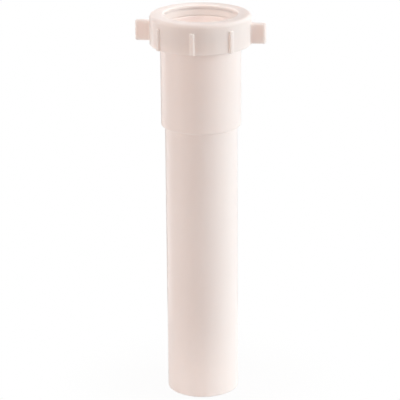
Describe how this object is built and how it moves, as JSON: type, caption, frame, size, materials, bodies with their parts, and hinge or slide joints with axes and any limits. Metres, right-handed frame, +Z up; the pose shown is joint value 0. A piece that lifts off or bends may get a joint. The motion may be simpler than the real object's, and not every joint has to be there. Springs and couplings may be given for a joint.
{
  "type": "basin waste tail pipe",
  "caption": "Straight plastic waste tail pipe with a stepped socket end, and a winged slip nut that screws down to press a bevelled washer round an inserted pipe.",
  "frame": {"origin": "centre of the cut tail end, on the pipe's axis, where the pipe stands", "axes": "+Z up the pipe's axis towards the socket's mouth, +X along the nut's two wings, +Y across them"},
  "size_m": [0.0686, 0.0552, 0.2076],
  "materials": {
    "pipe_plastic": "moulded polypropylene, soft gloss, warm white",
    "nut_plastic": "moulded polypropylene, soft gloss, warm white",
    "washer_plastic": "soft polyethylene, matt, milky"
  },
  "bodies": {
    "pipe": {"tail_pipe": "pipe_plastic"},
    "washer": {"slip_washer": "washer_plastic"},
    "nut": {"slip_nut": "nut_plastic"}
  },
  "joints": [
    {"name": "washer_lift", "type": "slide", "parent": "pipe", "child": "washer", "axis": [0, 0, 1], "range_m": [0, 0.00828]},
    {"name": "nut_turn", "type": "hinge", "parent": "washer", "child": "nut", "pos_m": [0, 0, 0.2], "axis": [0, 0, 1], "range_deg": [0, 1350]}
  ],
  "couplings": [
    {"joint": "washer_lift", "follows": "nut_turn", "m_per_rad": 0.00035157}
  ]
}
